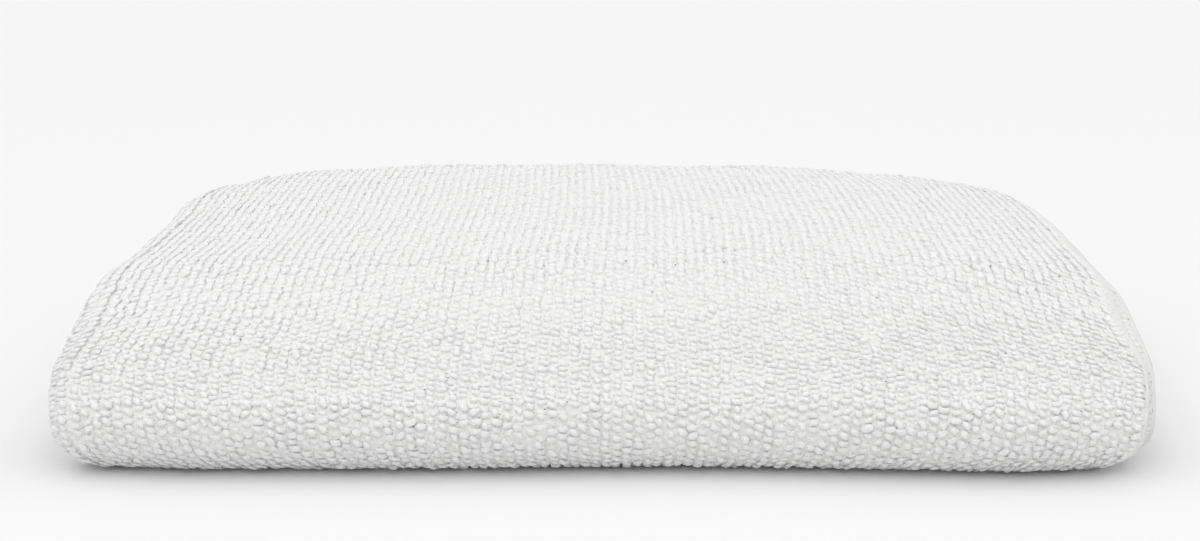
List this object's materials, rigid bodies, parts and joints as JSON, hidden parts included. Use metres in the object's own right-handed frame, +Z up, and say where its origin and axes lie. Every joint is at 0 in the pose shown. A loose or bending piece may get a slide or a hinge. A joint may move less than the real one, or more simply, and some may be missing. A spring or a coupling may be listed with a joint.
{
  "type": "folded bar mop towel",
  "caption": "White cotton terry bar mop towel, folded flat in layers behind a smooth rounded front, with its selvedges at the right and its hems at the back.",
  "frame": {"origin": "middle of the footprint, on the surface that the towel rests on", "axes": "+X along the rounded front fold, +Y from the front to the back, +Z up"},
  "size_m": [0.2046, 0.134, 0.0316],
  "materials": {
    "terry": "looped cotton pile, matt"
  },
  "bodies": {
    "root": {"towel": "terry"}
  },
  "joints": []
}
